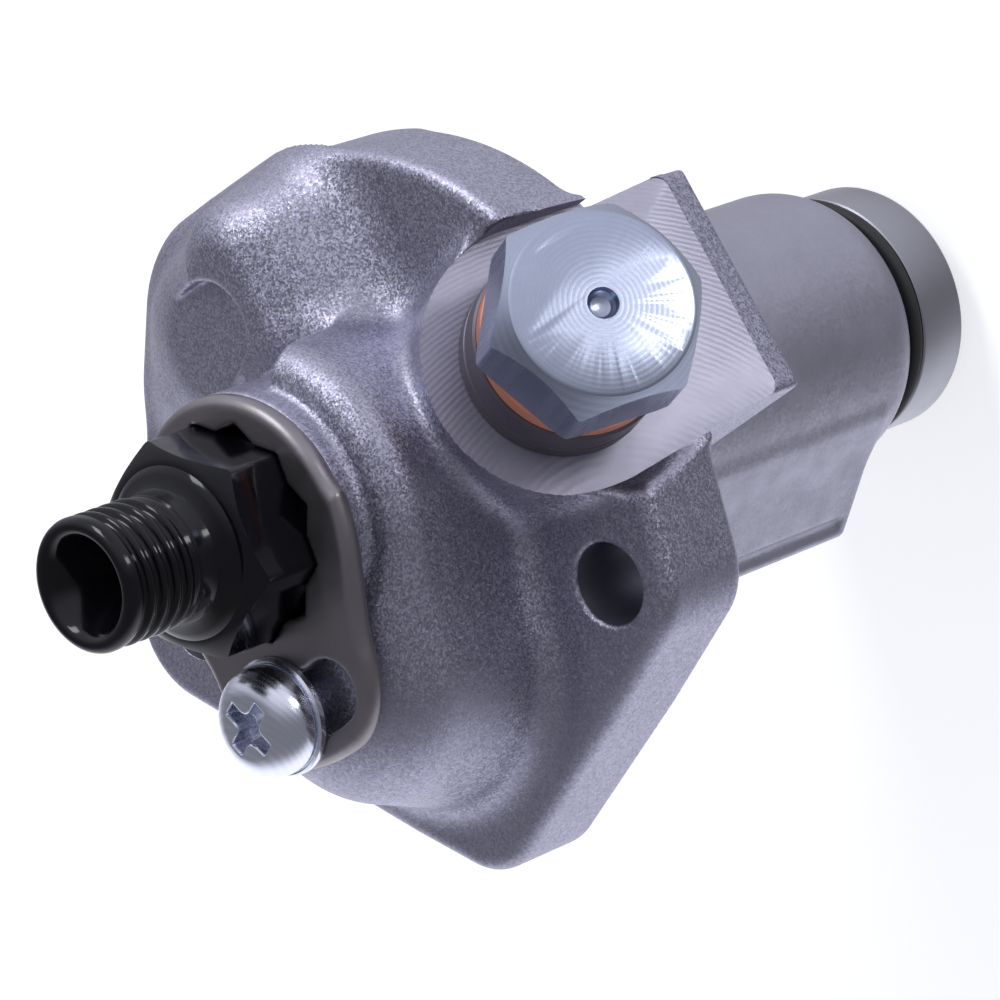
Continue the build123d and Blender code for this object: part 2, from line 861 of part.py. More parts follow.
# Roller tappet: cup for the plunger's foot above, fork for the roller below, guide slot at -X
with BuildPart() as tappet_body:
    add(
        turned(
            [
                (0, tappet_end_z),
                (tappet_radius - tappet_chamfer, tappet_end_z),
                (tappet_radius, tappet_end_z + tappet_chamfer),
                (tappet_radius, tappet_top_z - tappet_chamfer),
                (tappet_radius - tappet_chamfer, tappet_top_z),
                (tappet_recess_radius, tappet_top_z),
                (tappet_recess_radius, recess_floor_z),
                (0, recess_floor_z),
            ]
        )
    )
    with BuildSketch(Plane.XY.offset(tappet_end_z)):
        Rectangle(2 * roller_pocket_half_length, roller_width + 2 * roller_side_gap)
    extrude(amount=roller_pocket_top_z - tappet_end_z, mode=Mode.SUBTRACT)
    with BuildSketch(Plane.XZ):
        with Locations((0, roller_z)):
            Circle(roller_pin_radius)
    extrude(amount=tappet_radius, both=True, mode=Mode.SUBTRACT)
    with BuildSketch(Plane.XY.offset(tappet_end_z)):
        with Locations((-tappet_radius, 0)):
            Rectangle(2 * guide_slot_depth, 2 * (guide_pin_radius + guide_slot_gap))
    extrude(amount=guide_pin_z + guide_pin_radius + guide_slot_gap - tappet_end_z, mode=Mode.SUBTRACT)
save(tappet_body, "tappet_body")

with BuildPart() as roller_pin:
    with BuildSketch(Plane.XZ):
        with Locations((0, roller_z)):
            Circle(roller_pin_radius)
    extrude(amount=roller_pin_half_length, both=True)
save(roller_pin, "roller_pin")

with BuildPart() as roller_bush:
    with BuildSketch(Plane.XZ):
        with Locations((0, roller_z)):
            Circle(roller_bush_radius)
            Circle(roller_pin_radius + running_gap, mode=Mode.SUBTRACT)
    extrude(amount=roller_width / 2, both=True)
save(roller_bush, "roller_bush")

with BuildPart() as roller:
    with BuildSketch(Plane.XZ):
        with Locations((0, roller_z)):
            Circle(roller_radius)
    extrude(amount=roller_width / 2, both=True)
    chamfer(roller.edges(), roller_chamfer)
    with BuildSketch(Plane.XZ):
        with Locations((0, roller_z)):
            Circle(roller_bush_radius)
    extrude(amount=roller_width / 2, both=True, mode=Mode.SUBTRACT)
save(roller, "roller")

with BuildPart() as tappet_guide_pin:
    with BuildSketch(Plane.YZ.offset(-(tappet_radius - guide_slot_depth + guide_slot_gap))):
        with Locations((0, guide_pin_z)):
            Circle(guide_pin_radius)
    extrude(amount=-(guide_pin_outer - tappet_radius + guide_slot_depth - guide_slot_gap))
save(tappet_guide_pin, "tappet_guide_pin")

with BuildPart() as spigot_o_ring:
    with BuildSketch(Plane.XZ):
        with Locations((spigot_ring_radius, ring_groove_top_z - ring_groove_width / 2)):
            Circle(o_ring_wire_radius)
    revolve(axis=Axis.Z)
save(spigot_o_ring, "spigot_o_ring")

# Lock plate: ring round the hexagon with twelve-point hole, lug with a curved slot
with BuildPart() as lock_plate:
    with BuildSketch(plate_plane) as plate_outline:
        Circle(plate_reach)
        with Locations((0, -plate_reach / 2)):
            Rectangle(2 * plate_half_width, plate_reach, mode=Mode.INTERSECT)
        fillet(plate_outline.vertices().sort_by(Axis((0, 0, 0), plate_plane.y_dir))[:2], plate_corner)
        Circle(plate_radius)
    extrude(amount=plate_thickness)
    fillet(lock_plate.faces().sort_by(Axis.Z)[-1].edges(), plate_edge_round)
    with BuildSketch(plate_plane):
        RegularPolygon(hex_corner_radius + plate_hex_gap, 6, rotation=hex_phase - plate_turn)
        RegularPolygon(hex_corner_radius + plate_hex_gap, 6, rotation=hex_phase - plate_turn + 30)
    extrude(amount=plate_thickness, mode=Mode.SUBTRACT)
    with BuildSketch(plate_plane):
        SlotArc(CenterArc((0, 0), slot_radius, -90 - slot_half_angle, 2 * slot_half_angle), slot_width)
    extrude(amount=plate_thickness, mode=Mode.SUBTRACT)
save(lock_plate, "lock_plate")

with BuildPart() as screw_washer:
    with BuildSketch(Plane.XY.offset(plate_top_z)):
        with Locations((screw_x, screw_y)):
            Circle(screw_washer_radius)
            Circle(screw_radius + screw_washer_gap, mode=Mode.SUBTRACT)
    extrude(amount=screw_washer_thickness)
    chamfer(screw_washer.faces().sort_by(Axis.Z)[-1].edges().sort_by(SortBy.RADIUS)[-1], screw_washer_chamfer)
save(screw_washer, "screw_washer")

# Pan-head screw with a cross recess
with BuildPart() as lock_screw:
    with Locations((screw_x, screw_y, washer_top_z)):
        add(
            turned(
                [
                    (0, -screw_length),
                    (screw_radius - loose_gap - screw_tip_chamfer, -screw_length),
                    (screw_radius - loose_gap, -screw_length + screw_tip_chamfer),
                    (screw_radius - loose_gap, 0),
                    (screw_head_radius, 0),
                    (screw_head_radius, screw_head_height),
                    (0, screw_head_height),
                ]
            )
        )
    fillet(lock_screw.faces().sort_by(Axis.Z)[-1].edges(), screw_head_crown)
    with BuildSketch(Plane.XY.offset(washer_top_z + screw_head_height)):
        with Locations((screw_x, screw_y)):
            Rectangle(recess_arm_length, recess_arm_width, rotation=recess_turn)
            Rectangle(recess_arm_width, recess_arm_length, rotation=recess_turn)
    extrude(amount=-recess_depth, taper=recess_taper, mode=Mode.SUBTRACT)
save(lock_screw, "lock_screw")

# Inlet stack: spacer collar, copper ring, then the hollow hexagon bolt
with BuildPart() as inlet_collar:
    add(
        along_inlet(
            [
                (inlet_thread_radius + collar_gap, inlet_face_distance),
                (spacer_radius - spacer_groove, inlet_face_distance),
                (spacer_radius - spacer_groove, inlet_face_distance + spacer_groove),
                (spacer_radius, inlet_face_distance + spacer_groove),
                (spacer_radius, spacer_top - spacer_groove),
                (spacer_radius - spacer_groove, spacer_top),
                (inlet_thread_radius + collar_gap, spacer_top),
            ]
        )
    )
save(inlet_collar, "inlet_collar")

with BuildPart() as inlet_washer:
    with BuildSketch(inlet_plane.offset(spacer_top)):
        Circle(seal_radius)
        Circle(inlet_thread_radius + collar_gap, mode=Mode.SUBTRACT)
    extrude(amount=seal_height)
save(inlet_washer, "inlet_washer")

with BuildPart() as inlet_plug:
    with BuildSketch(inlet_plane.offset(seal_top)):
        RegularPolygon(hex_corner_radius, 6, rotation=bolt_phase)
    extrude(amount=bolt_hex_height)
    add(
        along_inlet(
            [
                (0, seal_top),
                (hex_corner_radius, seal_top),
                (hex_corner_radius, bolt_top - bolt_chamfer_height),
                (bolt_chamfer_radius, bolt_top),
                (0, bolt_top),
            ]
        ),
        mode=Mode.INTERSECT,
    )
    add(
        along_inlet(
            [
                (0, inlet_thread_end + bolt_end_gap),
                (bolt_shank_radius - bolt_tip_chamfer, inlet_thread_end + bolt_end_gap),
                (bolt_shank_radius, inlet_thread_end + bolt_end_gap + bolt_tip_chamfer),
                (bolt_shank_radius, seal_top),
                (0, seal_top),
            ]
        )
    )
    add(
        along_inlet(
            [
                (0, inlet_thread_end + bolt_end_gap),
                (bolt_bore_radius, inlet_thread_end + bolt_end_gap),
                (bolt_bore_radius, bolt_bore_top),
                (0, bolt_bore_top + bolt_bore_radius / 2),
            ]
        ),
        mode=Mode.SUBTRACT,
    )
    add(
        along_inlet([(0, bolt_top - bolt_dimple_radius), (bolt_dimple_radius, bolt_top), (0, bolt_top)]),
        mode=Mode.SUBTRACT,
    )
    with BuildSketch(Plane.XZ.offset(-bolt_shank_radius)):
        with Locations(inlet_plane.from_local_coords((0, 0, bolt_cross_distance))):
            Circle(bolt_cross_radius)
    extrude(amount=2 * bolt_shank_radius, mode=Mode.SUBTRACT)
save(inlet_plug, "inlet_plug")
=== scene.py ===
import json
import math

import bpy
import numpy as np
import openvdb
from mathutils import Euler, Matrix, Vector


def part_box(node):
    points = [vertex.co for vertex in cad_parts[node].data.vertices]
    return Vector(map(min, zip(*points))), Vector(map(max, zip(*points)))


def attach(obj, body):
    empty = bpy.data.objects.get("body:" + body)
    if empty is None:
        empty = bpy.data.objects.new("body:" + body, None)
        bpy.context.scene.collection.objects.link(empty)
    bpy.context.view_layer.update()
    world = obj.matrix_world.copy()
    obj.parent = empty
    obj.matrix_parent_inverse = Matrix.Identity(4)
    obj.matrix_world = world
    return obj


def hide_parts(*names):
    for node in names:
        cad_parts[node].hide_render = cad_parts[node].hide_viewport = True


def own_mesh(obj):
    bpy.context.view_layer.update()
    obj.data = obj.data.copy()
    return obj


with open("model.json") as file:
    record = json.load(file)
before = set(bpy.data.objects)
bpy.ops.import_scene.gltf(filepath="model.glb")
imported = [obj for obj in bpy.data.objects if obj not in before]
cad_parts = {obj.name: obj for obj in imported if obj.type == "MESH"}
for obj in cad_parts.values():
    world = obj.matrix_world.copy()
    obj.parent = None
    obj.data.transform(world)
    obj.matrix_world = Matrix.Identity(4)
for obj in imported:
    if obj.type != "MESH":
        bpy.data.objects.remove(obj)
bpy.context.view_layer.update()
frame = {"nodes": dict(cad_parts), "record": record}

# Sizes and places that several pieces share, in millimetres. Only finished meshes are in metres.

MM = 0.001
SKIN_STEP = 0.3
FAR = 1000.0
HULL_LINES = 181

FLANGE_TOP = 10.0
DISC_R = 29.5
STUD_R = 3.7
FRONT_STUD = (17.6, -19.0)
REAR_STUD = (-31.0, -0.3)
FLANGE = [(0, 0, DISC_R), (-8.4, 17.9, 12.1), (*FRONT_STUD, 7.0), (*REAR_STUD, 8.3), (-9.3, -28.9, 6.3)]
PAD_TOP = 27.5

INLET_ANGLE = math.radians(63.2)
INLET = np.array([math.sin(INLET_ANGLE), 0.0, math.cos(INLET_ANGLE)])
INLET_UP = np.array([-math.cos(INLET_ANGLE), 0.0, math.sin(INLET_ANGLE)])
INLET_Z = -3.94
INLET_PLACE = Matrix((INLET_UP, (0, -1, 0), INLET)).transposed().to_4x4()
INLET_PLACE.translation = Vector((0, 0, INLET_Z))
INLET_FACE = 25.66
COLLAR_TOP = INLET_FACE + 5.5
COPPER_TOP = COLLAR_TOP + 2.0
BOLT_TOP = COPPER_TOP + 8.4
BOLT_FLATS = 17.0
BOLT_PHASE = 3.017
BOSS_R = 12.2
BOSS_HALF = 10.9
BOSS_DROP = 16.5
BOSS_CORNER = 1.2
BOSS_BOTTOM = -10.0

BARREL_R = 13.8
BARREL_END = -51.2
WEB_ANGLE = math.radians(-57.3)
WEB_WIDE = 15.0
WEB_END = -45.5

HOLDER_FLATS = 17.2
HOLDER_PHASE = math.radians(18.8)
HEX_LOW, HEX_TOP = 28.1, 36.4
PLATE_TURN = math.radians(18.0)
PLATE_TOP = PAD_TOP + 2.2
WASHER_TOP = PLATE_TOP + 0.9
SCREW = (-5.04, -15.5)
SCREW_PLACE = Matrix.Translation((*SCREW, 0))


# Distance fields, negative inside


def soft_min(a, b, k):
    """Union of two distance fields with a fillet of about k."""
    h = np.clip(0.5 + 0.5 * (b - a) / k, 0, 1)
    return b * (1 - h) + a * h - k * h * (1 - h)


def soft_max(a, b, k):
    """Intersection of two distance fields with a round of about k."""
    return -soft_min(-a, -b, k)


def rounded(a, b, r):
    """Intersection of two distance fields with a true round of radius r."""
    inside = np.minimum(np.maximum(a + r, b + r), 0)
    return inside + np.hypot(np.maximum(a + r, 0), np.maximum(b + r, 0)) - r


def hull_distance(x, y, circles):
    """Plan distance to the convex hull of (x, y, radius) circles, from the hull's tangent lines."""
    distance = np.full(x.shape, -FAR, np.float32)
    for angle in np.linspace(-math.pi, math.pi, HULL_LINES):
        c, s = math.cos(angle), math.sin(angle)
        reach = max(cx * c + cy * s + r for cx, cy, r in circles)
        distance = np.maximum(distance, x * c + y * s - reach)
    return distance


def ramp(value, low, high):
    """Smooth step from 0 at low to 1 at high."""
    t = np.clip((value - low) / (high - low), 0, 1)
    return t * t * (3 - 2 * t)


def leaning(z, height):
    """Share of a leaning wall's height above the flange, running a little below its foot."""
    return np.clip((z - FLANGE_TOP) / height, -0.3, 1)


# Cast housing


def core_field(x, y, z):
    """Round core under the outlet. Its shoulder is cut down between the backs of the two lobes."""
    core_r, core_top, cut_depth = 15.5, 25.0, 8.6
    angle = np.degrees(np.arctan2(y, x))
    cut_down = ramp(angle, 50, 56) * (1 - ramp(angle, 139, 150))
    top = core_top - cut_depth * cut_down
    return rounded(np.hypot(x, y) - core_r, z - top, 3.0)


def lower_lobe(x, y, z):
    """Lobe under the lock screw. It leans inwards, and its top is a soft dome."""
    foot, head = (-6.4, -13.6, 15.6), (-3.0, -13.0, 11.6)
    top, slope_factor = 27.3, 0.96
    t = leaning(z, 17.0)
    cx, cy, r = (low + (high - low) * t for low, high in zip(foot, head))
    return rounded((np.hypot(x - cx, y - cy) - r) * slope_factor, z - top, 7.0)


def upper_lobe(x, y, z):
    """Long low ridge along the disc's edge, whose crest falls towards -X."""
    foot = [(5.2, 21.9, 7.2), (7.0, 13.5, 5.2), (-8.4, 17.9, 11.4), (-16.0, 16.5, 6.9)]
    crest = [(1.5, 22.6, 5.0), (1.5, 15.5, 4.6), (-8.0, 17.6, 5.0)]
    ridge_top, fall, level_x, slope_factor = 18.2, 0.24, -2.0, 0.85
    t = leaning(z, 7.5)
    side = (hull_distance(x, y, foot) * (1 - t) + hull_distance(x, y, crest) * t) * slope_factor
    top = np.minimum(ridge_top, ridge_top + fall * (x - level_x))
    return rounded(side, z - top, 3.0)


def boss_measures(x, y, z):
    """Distance along the inlet axis, and distance outside the inlet face's outline."""
    along = x * INLET[0] + (z - INLET_Z) * INLET[2]
    up = x * INLET_UP[0] + (z - INLET_Z) * INLET_UP[2]
    half = BOSS_R + np.minimum(up, 0) * (BOSS_R - BOSS_HALF) / BOSS_DROP
    square = np.maximum(np.abs(y) - half, -BOSS_DROP - up)
    return along, np.where(up > 0, np.hypot(up, y) - BOSS_R, square)


def boss_field(x, y, z):
    """Inlet boss: round above, square below, run back into the dome and down past the flange."""
    face_stock = 0.4
    block_top, block_front, root = 4.0, 30.34, 2.0
    along, outline = boss_measures(x, y, z)
    head = np.maximum(outline, along - INLET_FACE - face_stock)
    block = np.maximum(np.abs(y) - BOSS_HALF, z - block_top)
    both = soft_min(head, block, 0.6)
    both = rounded(both, x - block_front, 0.5)
    both = np.maximum(both, root - along)
    return rounded(both, BOSS_BOTTOM - z, 0.4)


def face_relief(x, y, z):
    """Room in front of the machined inlet face, upright on the +Y side and leaning out elsewhere."""
    along, outline = boss_measures(x, y, z)
    lean = np.where(y > 3, 0.0, 0.32)
    return np.maximum(outline - lean * np.maximum(along - INLET_FACE, 0), INLET_FACE + 0.1 - along)


def front_field(x, y, z):
    """Flange, dome, lobes and inlet boss as one cast skin."""
    pad_r, leaf_floor = 11.9, 16.2
    plan = hull_distance(x, y, FLANGE)
    flange = rounded(plan, np.maximum(z - FLANGE_TOP, -z), 1.3)
    pad = rounded(np.hypot(x, y) - pad_r, z - PAD_TOP, 0.3)
    dome = soft_min(core_field(x, y, z), lower_lobe(x, y, z), 5.0)
    dome = soft_min(dome, upper_lobe(x, y, z), 3.0)
    dome = soft_min(dome, pad, 1.0)
    # Fillets between dome and flange stay within the flange's plan
    whole = np.maximum(soft_min(flange, dome, 2.6), np.where(z < FLANGE_TOP - 1.0, plan, -FAR))
    whole = soft_max(whole, -face_relief(x, y, z), np.where(y > 3, 0.5, 1.6))
    boss = boss_field(x, y, z)
    whole = soft_min(whole, boss, 2.4)
    # Flat leaf-shaped facet at the end of the upper lobe's ridge
    leaf = hull_distance(x, y, [(-2.9, 18.5, 4.4), (-6.8, 18.6, 4.5), (-9.4, 15.0, 2.2)])
    whole = soft_max(whole, -np.maximum(leaf, leaf_floor - z), 0.5)
    return np.where(z < 0.0, np.maximum(boss, np.abs(y) - BOSS_HALF), whole)


def rear_field(x, y, z):
    """Spigot barrel with its flat web and the groove along the web's edge."""
    root, groove_across, groove_out, groove_r, groove_end = 7.3, 12.9, 14.0, 0.75, -44.2
    barrel = rounded(np.hypot(x, y) - BARREL_R, BARREL_END - z, 5.0)
    c, s = math.cos(WEB_ANGLE), math.sin(WEB_ANGLE)
    out = x * c + y * s
    across = x * s - y * c
    web = np.maximum(out - BARREL_R, root - out)
    web = rounded(web, np.maximum(across - WEB_WIDE, -across), 0.9)
    web = rounded(web, WEB_END - z, 0.7)
    groove = np.hypot((across - groove_across) * 0.8, out - groove_out) - groove_r
    web = soft_max(web, -np.maximum(groove, groove_end - z), 0.4)
    return np.maximum(soft_min(barrel, web, 1.6), z - 1.0)


# Meshes


def linked(name, mesh):
    """A new object for a mesh, in the scene."""
    piece = bpy.data.objects.new(name, mesh)
    bpy.context.scene.collection.objects.link(piece)
    return piece


def skin(name, field, low, high, step=SKIN_STEP):
    """Piece from a distance field's zero level, sampled between two corners."""
    axes = [np.arange(a, b, step, dtype=np.float32) for a, b in zip(low, high)]
    values = field(*np.meshgrid(*axes, indexing="ij", sparse=True)).astype(np.float32)
    band = 3 * step
    values = np.ascontiguousarray(np.clip(values, -band, band))
    level = openvdb.FloatGrid(band)
    level.copyFromArray(values)
    points, quads = level.convertToQuads()
    points = (points * step + np.array(low)) * MM
    mesh = bpy.data.meshes.new(name)
    mesh.from_pydata(points.tolist(), [], quads.tolist())
    mesh.update()
    mesh.shade_smooth()
    return linked(name, mesh)


def shade(mesh, sharp):
    """Smooth shading with sharp edges above an angle in degrees."""
    mesh.shade_smooth()
    mesh.set_sharp_from_angle(angle=math.radians(sharp))


def made(name, points, faces, place=Matrix(), sharp=35):
    """Piece from points in millimetres, moved to a place."""
    mesh = bpy.data.meshes.new(name)
    mesh.from_pydata([tuple(c * MM for c in place @ Vector(point)) for point in points], [], faces)
    mesh.validate()
    shade(mesh, sharp)
    return linked(name, mesh)


def ringed(name, rings, place=Matrix(), sharp=35, closed=True):
    """Piece with faces from each ring of points to the next. A ring of one point is a tip.

    The last ring joins the first when closed, and otherwise both ends are capped.
    """
    points, numbers = [], []
    for ring in rings:
        numbers.append(range(len(points), len(points) + len(ring)))
        points.extend(ring)
    faces = []
    for low, high in zip(numbers, numbers[1:] + numbers[:1] if closed else numbers[1:]):
        count = max(len(low), len(high))
        if count == 1:
            continue
        for i in range(count):
            k = (i + 1) % count
            if len(low) == 1:
                faces.append((low[0], high[k], high[i]))
            elif len(high) == 1:
                faces.append((low[i], low[k], high[0]))
            else:
                faces.append((low[i], low[k], high[k], high[i]))
    if not closed:
        faces += [tuple(numbers[0])[::-1], tuple(numbers[-1])]
    return made(name, points, faces, place, sharp)


def circle(r, z, sides):
    """Points round the Z axis, or the one point on it."""
    if r == 0:
        return [(0, 0, z)]
    angles = [2 * math.pi * i / sides for i in range(sides)]
    return [(r * math.cos(a), r * math.sin(a), z) for a in angles]


def lathe(name, profile, sides=128, place=Matrix()):
    """Closed turned piece from (radius, height) points."""
    return ringed(name, [circle(r, z, sides) for r, z in profile], place)


def prism(name, plan, low, high, place=Matrix()):
    """Closed solid over a plan of (x, y) points, from one height to another."""
    return ringed(name, [[(x, y, z) for x, y in plan] for z in (low, high)], place, closed=False)


def hexagon(name, flats, low, high, phase, place=Matrix()):
    """Hexagon of a width across flats, with its first corner at an angle."""
    corner_r = flats / 2 / math.cos(math.pi / 6)
    angles = [phase + i * math.pi / 3 for i in range(6)]
    plan = [(corner_r * math.cos(a), corner_r * math.sin(a)) for a in angles]
    return prism(name, plan, low, high, place)


def bake_modifier(piece, kind, **settings):
    """Apply one modifier to a piece's mesh for good."""
    step = piece.modifiers.new("step", kind)
    for key, value in settings.items():
        setattr(step, key, value)
    bpy.context.view_layer.update()
    graph = bpy.context.evaluated_depsgraph_get()
    old = piece.data
    mesh = bpy.data.meshes.new_from_object(piece.evaluated_get(graph))
    piece.modifiers.clear()
    piece.data = mesh
    bpy.data.meshes.remove(old)


def carve(piece, tools, operation="DIFFERENCE"):
    """Cut or meet a piece with closed tools, which are then thrown away."""
    for tool in tools:
        bake_modifier(piece, "BOOLEAN", operation=operation, solver="MANIFOLD", object=tool)
        bpy.data.objects.remove(tool)
    shade(piece.data, 50)


def soften(piece, width, segments=2, angle=30, flat=False):
    """Small rounds on a piece's edges, with the faces between them shaded flat if asked."""
    edges = {"limit_method": "ANGLE", "angle_limit": math.radians(angle)}
    bake_modifier(piece, "BEVEL", width=width * MM, segments=segments, harden_normals=flat, **edges)
    if not flat:
        shade(piece.data, 40)


# Cutters


def drill(r, low, high, place=Matrix(), sides=96):
    """Cutter of a round hole between two heights."""
    return lathe("cut", [(0, low), (r, low), (r, high), (0, high)], sides, place)


def radial_hole(r, z):
    """Cutter of a small hole from the axis out towards -X."""
    place = Matrix.Translation((0, 0, z)) @ Matrix.Rotation(math.radians(-90), 4, "Y")
    return drill(r, 0, 20, place, 48)


def stud_hole(x, y, rim):
    """Cutter of a through hole of the flange, with a small break at its top edge."""
    edge, wide_r = FLANGE_TOP + 0.05, STUD_R + rim
    profile = [(0, -3), (STUD_R, -3), (STUD_R, edge - rim), (wide_r, edge), (wide_r, 13), (0, 13)]
    return lathe("cut", profile, 96, Matrix.Translation((x, y, 0)))


def stepped_bore():
    """Cutter of the bore from the spigot's end up through gallery and holder seat."""
    tappet = [(0, -60), (9.5, -60), (9.5, -22), (8.9, -22), (8.9, -15), (6.3, -15), (6.3, -12)]
    gallery = [(8.25, -12), (8.25, -6.5), (9.7, -6.5), (9.7, 2.5), (8.25, 2.5), (8.25, 14.6)]
    seat = [(9, 14.6), (9, 29), (0, 29)]
    return lathe("cut", tappet + gallery + seat)


def face_cutter():
    """Cutter that mills the inlet face: a wide arc above and two small corners below."""
    arc, corner_x, corner_y = 96, BOSS_CORNER - BOSS_DROP, BOSS_HALF - BOSS_CORNER
    arcs = [
        (0, 0, BOSS_R, -arc, 2 * arc, 48),
        (corner_x, corner_y, BOSS_CORNER, 90, 90, 6),
        (corner_x, -corner_y, BOSS_CORNER, 180, 90, 6),
    ]
    plan = []
    for cx, cy, r, start, sweep, steps in arcs:
        angles = [math.radians(start + sweep * i / steps) for i in range(steps + 1)]
        plan += [(cx + r * math.cos(a), cy + r * math.sin(a)) for a in angles]
    return prism("cut", plan, INLET_FACE, INLET_FACE + 14.0, INLET_PLACE)


def arm_window():
    """Cutter of the control arm's window in the barrel."""
    return prism("cut", [(-22, -7.6), (-6.3, -7.6), (-6.3, 7.6), (-22, 7.6)], -21.4, -16.2)


# Pieces of the housing


def housing_casting():
    piece = skin("housing_casting", front_field, (-41, -38, -11.5), (33, 33, 29.5))
    inlet_bore = drill(6.0, 13.5, 30, INLET_PLACE)
    stud_holes = [stud_hole(*FRONT_STUD, 0.35), stud_hole(*REAR_STUD, 0.1)]
    screw_hole = drill(2.5, 13.5, 30, SCREW_PLACE, 48)
    carve(piece, [face_cutter(), inlet_bore, stepped_bore(), *stud_holes, screw_hole])
    return piece


def housing_barrel():
    piece = skin("housing_barrel", rear_field, (-18, -23, -53), (17, 17, 2.5))
    carve(piece, [stepped_bore(), arm_window(), radial_hole(1.1, -49.2), radial_hole(1.0, -9.3)])
    return piece


def spigot_land():
    """Turned end of the spigot, with the O-ring's groove."""
    end = [(9.5, -58.4), (9.8, -58.7), (11.6, -58.7), (11.9, -58.55), (12, -58.3)]
    groove = [(12, -52.75), (11.85, -52.6), (10.9, -52.6), (10.9, -50.6), (9.5, -50.6)]
    return lathe("spigot_land", end + groove, 192)


# Outlet holder


def thread(name, r, low, high, pitch, depth, bore_r):
    """Rolled thread as one closed skin round a bore, whose ridges run out at both ends."""
    sides, rows = 144, int((high - low) / pitch * 14)
    edge, run_out, end_depth = 1.6, 0.8 * pitch, 0.35 * depth
    rings = []
    for j in range(rows + 1):
        z = low + (high - low) * j / rows
        full = ramp(z, low, low + pitch) * (1 - ramp(z, high - run_out, high))
        ring = []
        for i in range(sides):
            a = 2 * math.pi * i / sides
            wave = math.cos(2 * math.pi * (z / pitch - i / sides))
            crest = 0.5 + 0.5 * math.tanh(edge * wave) / math.tanh(edge)
            ridge_r = r - depth * (1 - crest) * full - end_depth * (1 - full)
            ring.append((ridge_r * math.cos(a), ridge_r * math.sin(a), z))
        rings.append(ring)
    rings += [circle(bore_r, high, sides), circle(bore_r, low, sides)]
    return ringed(name, rings, sharp=50)


def holder_hex():
    piece = hexagon("holder_hex", HOLDER_FLATS, HEX_LOW, HEX_TOP, HOLDER_PHASE)
    soften(piece, 0.45, 3)
    turned = [(0, 28), (9.9, 28), (9.9, 35.1), (8.3, 36.2), (7.6, HEX_TOP), (0, HEX_TOP)]
    carve(piece, [lathe("keep", turned, 160)], "INTERSECT")
    carve(piece, [drill(4.0, 27, 37)])
    soften(piece, 0.18, 2, 25, flat=True)
    return piece


def holder_body():
    """Round body under the hexagon, with the O-ring's groove."""
    outside = [(4.4, 15), (8.8, 15), (8.95, 15.3), (8.95, 23.4), (7.5, 23.4), (7.5, 25.6), (8.95, 25.6)]
    top = [(8.95, 26.8), (8.3, 27.0), (8.3, 28.3), (4.4, 28.3)]
    return lathe("holder_body", outside + top, 160)


def holder_neck():
    """Waist that sweeps in from the hexagon to the thread's run-out."""
    sweep = [(7.9, 36.1), (7.6, 36.5), (7.0, 36.85), (6.35, 37.1), (5.95, 37.4), (5.8, 37.9)]
    return lathe("holder_neck", [(3.5, 36), *sweep, (5.8, 39), (5.3, 39.7), (3.5, 39.9)], 160)


def holder_mouth():
    """Rounded lip, sealing cone and bore of the outlet."""
    lip = [(5.8, 46.2), (5.95, 46.4), (5.95, 46.85), (5.82, 47.2), (5.55, 47.48), (5.15, 47.6), (4.75, 47.5)]
    cone = [(4.45, 47.25), (4.2, 46.8), (1.6, 42.2), (1.3, 41.5), (1.25, 41.0)]
    return lathe("holder_mouth", lip + cone + [(1.25, 36), (4.7, 36), (4.7, 46.0)], 160)


# Lock plate, screw and washer


def six_sides(x, y, half, phase):
    """Distance to a hexagon of a half width across flats."""
    distance = np.full(np.broadcast(x, y).shape, -FAR, np.float32)
    for i in range(6):
        a = phase + i * math.pi / 3
        distance = np.maximum(distance, x * math.cos(a) + y * math.sin(a) - half)
    return distance


def plate_field(x, y, z):
    """Stamped lock plate with its lug towards -Y, a rounded rim, a twelve-point opening and a slot."""
    ring_x, ring_y, ring_r = 0.6, -0.4, 12.35
    lug_x, lug_half, lug_reach = 2.15, 9.55, 21.5
    opening_half, slot_r, slot_half = 8.62, 16.3, 2.9
    rim, edge = 1.0, 0.35
    ring = np.hypot(x - ring_x, y - ring_y) - ring_r
    lug = rounded(np.hypot(x, y) - lug_reach, np.abs(x - lug_x) - lug_half, 4.5)
    plan = soft_min(ring, np.maximum(lug, y), 4.0)
    phase = HOLDER_PHASE + PLATE_TURN + math.pi / 6
    opening = six_sides(x, y, opening_half, phase)
    opening = np.minimum(opening, six_sides(x, y, opening_half, phase + math.pi / 6))
    a = np.clip(np.arctan2(x, -y), math.radians(-7), math.radians(23.5))
    slot = np.hypot(x - slot_r * np.sin(a), y + slot_r * np.cos(a)) - slot_half
    solid = rounded(plan, np.maximum(z - PLATE_TOP, PAD_TOP - z), rim)
    solid = soft_max(solid, -opening, edge)
    return soft_max(solid, -slot, edge)


def lock_plate():
    piece = skin("plate_stamping", plate_field, (-14, -22.5, 27), (14, 14, 30.3), 0.2)
    piece.data.transform(Matrix.Rotation(-PLATE_TURN, 4, "Z"))
    return piece


